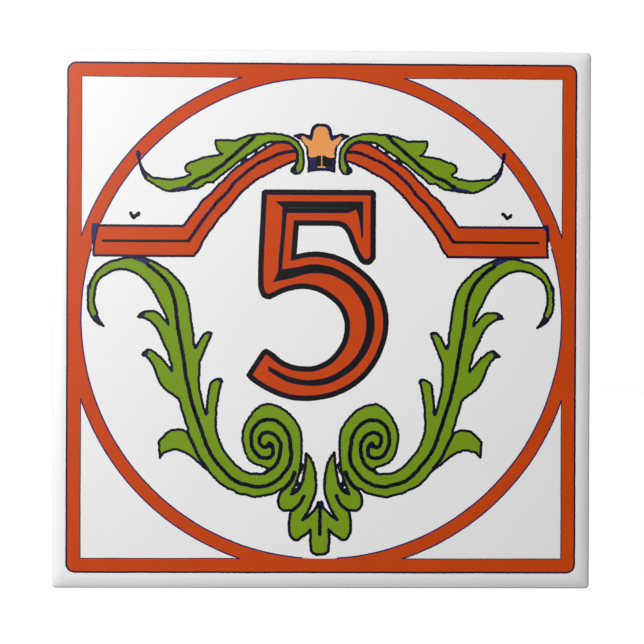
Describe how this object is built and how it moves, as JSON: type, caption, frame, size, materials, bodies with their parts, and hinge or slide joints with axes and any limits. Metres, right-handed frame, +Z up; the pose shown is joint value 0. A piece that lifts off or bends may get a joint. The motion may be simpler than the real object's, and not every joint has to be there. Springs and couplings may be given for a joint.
{
  "type": "house number plaque",
  "caption": "Square glazed ceramic tile with a cushion edge and a ribbed back, printed with the numeral 5 under a broken arch among acanthus scrolls; shows a house's number by its door.",
  "frame": {"origin": "centre of the back face, which lies flat on the wall (the back face is on y = 0)", "axes": "+X runs across the plaque, to the right as a reader sees it; +Z is up; the printed face looks towards -Y"},
  "size_m": [0.1524, 0.0065, 0.1524],
  "materials": {
    "glazed_white": "gloss",
    "line_navy": "gloss",
    "border_red": "gloss",
    "ornament_red": "gloss",
    "leaf_green": "gloss",
    "bud_peach": "gloss",
    "numeral_black": "gloss"
  },
  "bodies": {
    "root": {"tile": "glazed_white", "border_line": "line_navy", "border": "border_red", "key_lines": "line_navy", "arch": "ornament_red", "upper_leaves": "leaf_green", "side_scrolls": "leaf_green", "palmette": "leaf_green", "bud": "bud_peach", "numeral_outline": "numeral_black", "numeral": "ornament_red", "ticks": "numeral_black"}
  },
  "joints": []
}
